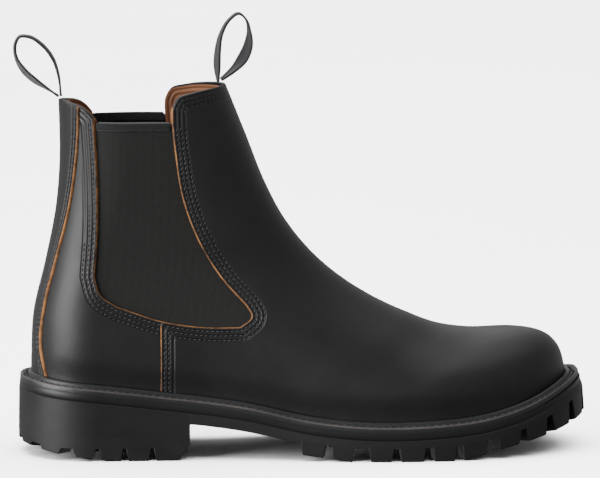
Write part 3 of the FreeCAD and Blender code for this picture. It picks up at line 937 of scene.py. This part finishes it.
def side_wall(place):
    """The outsole's edge at one place, from its rounded top corner to its underside."""
    foot = ring_at(place, OUTSOLE_MARGIN, TOE_FLARE)
    top, low = feather(foot[0]) + OUTSOLE_TOP, underside(foot[0])
    return np.array([(*ring_at(place, 7.4, TOE_FLARE / 2), top),
                     (*ring_at(place, 7.9, TOE_FLARE / 2), top - 0.45),
                     (*ring_at(place, 8.1, TOE_FLARE * 0.8), (top + low) / 2),
                     (*foot, low)])


def make_outsole_body():
    """A slab built in rows across the foot: full height at the heel, thin at the arch."""
    half = len(RING) // 2
    share = (1 - np.cos(np.linspace(0, np.pi, 130))) / 2
    rows = list(zip(share * half, 2 * half - share * half))
    for x in (BREAST_X - 0.05, BREAST_X + 0.05, FOREPART_X - 1.6, FOREPART_X):
        rows.append((ring_place(x, LATERAL), ring_place(x, MEDIAL)))
    rows.sort()
    across = np.linspace(0, 1, 9)[1:-1]
    points = []
    for lateral_place, medial_place in rows:
        lateral_wall, medial_wall = side_wall(lateral_place), side_wall(medial_place)
        start, end = lateral_wall[-1], medial_wall[-1]
        floor = [start + (end - start) * t for t in across]
        points += [*lateral_wall, *floor, *medial_wall[::-1]]
    faces = ring_faces(len(rows), len(points) // len(rows))
    return np.array(points), [(a, d, c, b) for a, b, c, d in faces]


def lug(start, end, taper, tread, root):
    """One edge lug between two places on the outline; narrower at its foot."""
    top_places = np.linspace(start, end, LUG_SAMPLES)
    squeeze = taper * np.sign(end - start)
    low_places = np.linspace(start + squeeze, end - squeeze, LUG_SAMPLES)
    outer_top = ring_at(top_places, OUTSOLE_MARGIN - 0.04, TOE_FLARE)
    outer_low = ring_at(low_places, OUTSOLE_MARGIN - 0.04, TOE_FLARE * 1.6)
    inner_top = ring_at(top_places, OUTSOLE_MARGIN - LUG_REACH, 0.0)
    inner_low = ring_at(low_places, OUTSOLE_MARGIN - LUG_REACH + 0.9, 0.0)
    points = []
    for a, b, c, d in zip(outer_top, outer_low, inner_low, inner_top):
        points += [(*a, root(a[0]) + LUG_SINK), (*b, tread(b[0])), (*c, tread(c[0])),
                   (*d, root(d[0]) + LUG_SINK)]
    return np.array(points), capped_tube(LUG_SAMPLES, 4)


def edge_lugs(side, start, grooves, end, gap, taper, tread, root):
    """One side's lugs from x = `start` past the grooves, then two up to place `end`."""
    ahead = np.sign(grooves[-1][0] - start)
    stops = [start]
    for middle, width in grooves:
        stops += [middle - ahead * width / 2, middle + ahead * width / 2]
    places = [ring_place(x, side) for x in stops]
    last = places[-1]
    middle = (last + end) / 2
    gap = gap * np.sign(end - last)
    spans = list(zip(places[0:-1:2], places[1::2]))
    spans += [(last, middle - gap), (middle + gap, end)]
    return [lug(a, b, taper, tread, root) for a, b in spans]


def block(x, y, size_x, size_y, tread, root):
    """A tapered tread block away from the edge."""
    points = []
    for height, grow, sink in ((root, 1.0, LUG_SINK), (tread, 0.86, 0.0)):
        for sx, sy in ((-1, -1), (1, -1), (1, 1), (-1, 1)):
            px = x + sx * size_x / 2 * grow
            points.append((px, y + sy * size_y / 2 * grow, height(px) + sink))
    faces = [(0, 1, 2, 3), (7, 6, 5, 4), (0, 4, 5, 1), (1, 5, 6, 2), (2, 6, 7, 3), (3, 7, 4, 0)]
    return np.array(points), faces


def inner_blocks():
    """A row of crosses under the forepart and of bars under the heel."""
    parts = []
    for k in range(7):
        x = 17 + 17.5 * k
        y = 1.5 * math.sin(k)
        span = 34 - 1.6 * abs(k - 3) ** 1.5
        parts.append(block(x, y, 6, span, forepart_tread, forepart_root))
        parts.append(block(x, y, 13.5, 6, forepart_tread, forepart_root))
    for k in range(4):
        parts.append(block(-122 + 14.5 * k, 0, 8.5, 30 + 2.0 * k, heel_tread, heel_root))
    return parts


def tread_parts():
    """All edge lugs and inner blocks as (points, faces)."""
    parts = []
    for side in SIDES:
        toe = len(RING) / 2 + side * MIDDLE_GAP
        heel = MIDDLE_GAP if side == LATERAL else len(RING) - MIDDLE_GAP
        parts += edge_lugs(side, FOREPART_X + 0.6, FOREPART_GROOVES, toe, FOREPART_END_GAP,
                           FOREPART_TAPER, forepart_tread, forepart_root)
        parts += edge_lugs(side, BREAST_X - 0.6, HEEL_GROOVES, heel, HEEL_END_GAP,
                           HEEL_TAPER, heel_tread, heel_root)
    return parts + inner_blocks()


def bevel(piece, width):
    modifier = piece.modifiers.new("rounded edges", "BEVEL")
    modifier.width = width * MM
    modifier.segments = 2
    modifier.limit_method = "ANGLE"
    modifier.angle_limit = math.radians(35)


def make_outsole():
    body = new_mesh("outsole_body", *make_outsole_body(), ["outsole_rubber"], sharp=40)
    fit(body, "outsole")
    lugs = new_mesh("outsole_lugs", *merged(tread_parts()), ["outsole_rubber"], sharp=30)
    bevel(lugs, 0.45)
    fit(lugs, "outsole")


# ----------------------------------------------------------------- pull loops
TAPE_WIDTH, TAPE_THICK = 8.5, 1.25
TAPE_SAMPLES = 90
# The tape's section, in shares of its width and thickness.
TAPE_SECTION = [(-0.5, -0.3), (-0.47, 0.5), (-0.25, 0.5), (0, 0.5), (0.25, 0.5), (0.47, 0.5),
                (0.5, 0.3), (0.5, -0.3), (0.47, -0.5), (0.25, -0.5), (0, -0.5), (-0.25, -0.5),
                (-0.47, -0.5)]


def tape_loop(name, spine, twist, body, node):
    """A folded tape: a ribbon along a spine, turned about it by `twist` degrees."""
    chord = run_along(np.array(spine, float))
    lengthwise = np.linspace(0, chord[-1], TAPE_SAMPLES)
    curve = spline(spine, TAPE_SAMPLES)
    turn = np.radians(smooth_line(list(zip(chord, twist)))(lengthwise))[:, None]
    along = np.gradient(curve, axis=0)
    along /= np.linalg.norm(along, axis=1, keepdims=True)
    level = np.tile([0.0, 1.0, 0.0], (TAPE_SAMPLES, 1))
    level -= along * (level * along).sum(1, keepdims=True)
    level /= np.linalg.norm(level, axis=1, keepdims=True)
    across = level * np.cos(turn) + np.cross(along, level) * np.sin(turn)
    flat = np.cross(along, across)
    points = [curve[k] + across[k] * u * TAPE_WIDTH + flat[k] * v * TAPE_THICK
              for k in range(TAPE_SAMPLES) for u, v in TAPE_SECTION]
    widthwise = [(u + 0.5) * TAPE_WIDTH for u, v in TAPE_SECTION]
    data = {"across": np.tile(widthwise, TAPE_SAMPLES),
            "along": np.repeat(lengthwise, len(TAPE_SECTION))}
    faces = capped_tube(TAPE_SAMPLES, len(TAPE_SECTION))
    fit(new_mesh(name, points, faces, ["loop_tape"], sharp=60, data=data), node, body)


def make_loops():
    front = [(-44.0, 0.6, 195.4), (-44.4, 0.6, 203), (-44.0, 0.4, 212), (-42.2, 0, 221),
             (-38.0, 0, 228.4), (-32.8, 0, 231.8), (-29.2, 0, 229.0), (-27.3, 0, 222.5),
             (-27.7, 0, 215.0), (-30.6, -0.4, 208.0), (-35.8, -0.6, 201.8), (-42.5, -0.6, 196.4)]
    tape_loop("front_loop_tape", front, [0, 16, 14, 5, 0, 0, 0, -6, -26, -34, -14, 0],
              "front_loop", "front_pull_loop")
    rear = [(-129.4, 0.6, 188.4), (-135.2, 0.6, 192.3), (-142.0, 0.4, 196.9),
            (-148.1, 0, 202.8), (-151.8, 0, 209.6), (-152.1, 0, 216.4), (-150.0, 0, 220.2),
            (-144.6, 0, 220.2), (-138.2, 0, 216.2), (-132.4, 0, 209.0),
            (-129.1, -0.4, 199.0), (-128.0, -0.6, 188.6)]
    tape_loop("rear_loop_tape", rear, [0, 8, 20, 18, 6, 2, 0, 2, 5, 6, 4, 0],
              "rear_loop", "rear_pull_loop")


# ------------------------------------------------------------------- stitches
def row_paths(edge, distance, away, side):
    """A stitch row beside an edge, in the stretches truly `distance` from it."""
    path = offset_path(edge, distance, side)
    points = surface(path[:, 0], path[:, 1], side)[0]
    good = np.abs(away(points) - abs(distance)) < 0.4
    starts = np.flatnonzero(np.diff(good.astype(int))) + 1
    stretches = np.split(np.arange(len(path)), starts)
    return [path[stretch] for stretch in stretches if len(stretch) > 3 and good[stretch[0]]]


def make_stitches():
    def lift(p):
        return vamp_height(p) * (p[:, 0] > SEAM_X)

    def rows(edge, distances, away, height):
        runs = []
        for side in SIDES:
            for distance in distances:
                for path in row_paths(edge, distance, away, side):
                    points, normals = on_side(path, side, height)
                    runs.append(stitch_run(points, normals, *UPPER_STITCH))
        return runs

    seam = np.stack([np.full(30, SEAM_X), np.linspace(66, 34, 30)], -1)
    collar = COLLAR_FRONT[(COLLAR_FRONT[:, 1] > 177) & (COLLAR_FRONT[:, 0] < -42)]
    front = joined(collar[::-1], GORE_FRONT, GORE_TIP, GORE_BOTTOM[:22])
    stitching("vamp_stitches", rows(front, ROWS, vamp_sewn, lift)
              + rows(seam, ROWS[:2], vamp_sewn, lift))
    collar = COLLAR_REAR[(COLLAR_REAR[:, 0] > -119) & (COLLAR_REAR[:, 1] > 177)]
    rear = joined(GORE_BOTTOM[18:], GORE_HEEL, GORE_REAR, collar[::-1])
    stitching("quarter_stitches", rows(rear, ROWS, sewn_edges, 0.0))
    stay = BACKSTAY_EDGE[(BACKSTAY_EDGE[:, 1] > 42) & (BACKSTAY_EDGE[:, 1] < 182)]
    stitching("backstay_stitches", rows(stay, [-row for row in STAY_ROWS], stay_distance,
                                       STAY_HEIGHT))


# ----------------------------------------------------------------- inner parts
def dress_inner_parts():
    """The CAD solids that stay hold their shape and get their own materials."""
    looks = {"toe_puff": "board", "heel_counter": "board", "sock_liner": "sock",
             "insole_board": "board", "insole_rib": "canvas", "cork_filler": "cork",
             "shank": "steel"}
    for node, material in looks.items():
        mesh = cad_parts[node].data
        if not mesh.materials:
            mesh.materials.append(MATERIALS[material])
        for i in range(len(mesh.materials)):
            mesh.materials[i] = MATERIALS[material]


# ---------------------------------------------------------------------- studio
FLOOR_REACH = 12.0
WORLD_FADE = {"From Min": -0.85, "From Max": -0.1, "To Min": 0.05, "To Max": 0.55}
PANELS = {"left_panel": ((-1.35, -0.6, 0.5), (1.2, 1.2), 62),
          "overhead_panel": ((0.1, 0.2, 1.5), (1.3, 1.1), 7),
          "back_panel": ((-0.3, 1.5, 1.3), (1.8, 1.0), 6)}    # place, size, power
PANEL_TARGET = Vector((0, 0, 0.1))


def add_to_scene(name, data):
    thing = bpy.data.objects.new(name, data)
    bpy.context.scene.collection.objects.link(thing)
    return thing


def aim(thing, direction):
    thing.rotation_euler = direction.to_track_quat("-Z", "Y").to_euler()


def make_floor():
    """Pale paper that light bouncing off the boot doesn't see, so it isn't mirrored there."""
    mesh = bpy.data.meshes.new("floor")
    corners = [(-1, -1), (1, -1), (1, 1), (-1, 1)]
    mesh.from_pydata([(x * FLOOR_REACH, y * FLOOR_REACH, 0) for x, y in corners], [],
                     [(0, 1, 2, 3)])
    s = Shader("floor_paper")
    s.set(Base_Color=s.ramp(s.noise(3, 2), [(0.3, (0.86, 0.86, 0.86)), (0.7, (0.9, 0.9, 0.9))]),
          Roughness=0.7)
    mesh.materials.append(s.material)
    floor = add_to_scene("floor", mesh)
    floor.visible_diffuse = False
    floor.visible_glossy = False
    return floor


def make_world():
    """White light from all round that fades below the horizon."""
    world = bpy.data.worlds.new("studio")
    bpy.context.scene.world = world
    world.use_nodes = True
    nodes, links = world.node_tree.nodes, world.node_tree.links
    background = nodes["Background"]
    direction = nodes.new("ShaderNodeSeparateXYZ")
    links.new(nodes.new("ShaderNodeTexCoord").outputs["Generated"], direction.inputs[0])
    fade = nodes.new("ShaderNodeMapRange")
    for key, value in WORLD_FADE.items():
        fade.inputs[key].default_value = value
    links.new(direction.outputs["Z"], fade.inputs["Value"])
    links.new(fade.outputs[0], background.inputs["Strength"])
    background.inputs["Color"].default_value = (1.0, 1.0, 1.0, 1.0)


def make_panels():
    for name, (place, size, power) in PANELS.items():
        light = bpy.data.lights.new(name, "AREA")
        light.shape = "RECTANGLE"
        light.size, light.size_y = size
        light.energy = power
        panel = add_to_scene(name, light)
        panel.location = place
        panel.visible_camera = False
        aim(panel, PANEL_TARGET - Vector(place))


def light_paper(floor):
    """The floor has a sun of its own, so that it stays white round black leather."""
    paper = bpy.data.collections.new("paper")
    paper.objects.link(floor)
    sun = bpy.data.lights.new("paper_light", "SUN")
    sun.energy = 17.0
    sun.angle = math.radians(80)
    add_to_scene("paper_light", sun).light_linking.receiver_collection = paper


def make_studio():
    floor = make_floor()
    make_world()
    make_panels()
    light_paper(floor)


DISTANCE = 3.0
ELEVATION, AZIMUTH = math.radians(7.5), math.radians(-5.0)
TARGET = (0, 0, 110)
SENSOR = 36.0
IMAGE_WIDTH = 600
MM_PER_PIXEL = 0.537


def make_camera():
    """A long lens level with the ankle, slightly behind square-on."""
    target = Vector((SHIFT + TARGET) * MM)
    back = Vector((math.sin(AZIMUTH) * math.cos(ELEVATION),
                   -math.cos(AZIMUTH) * math.cos(ELEVATION), math.sin(ELEVATION)))
    lens = bpy.data.cameras.new("camera")
    lens.sensor_width = SENSOR
    lens.lens = SENSOR * DISTANCE / (IMAGE_WIDTH * MM_PER_PIXEL * MM)
    camera = add_to_scene("camera", lens)
    camera.location = target + back * DISTANCE
    aim(camera, -back)
    bpy.context.scene.camera = camera


make_materials()
make_upper()
make_welt()
make_outsole()
make_loops()
make_stitches()
dress_inner_parts()
make_studio()
make_camera()
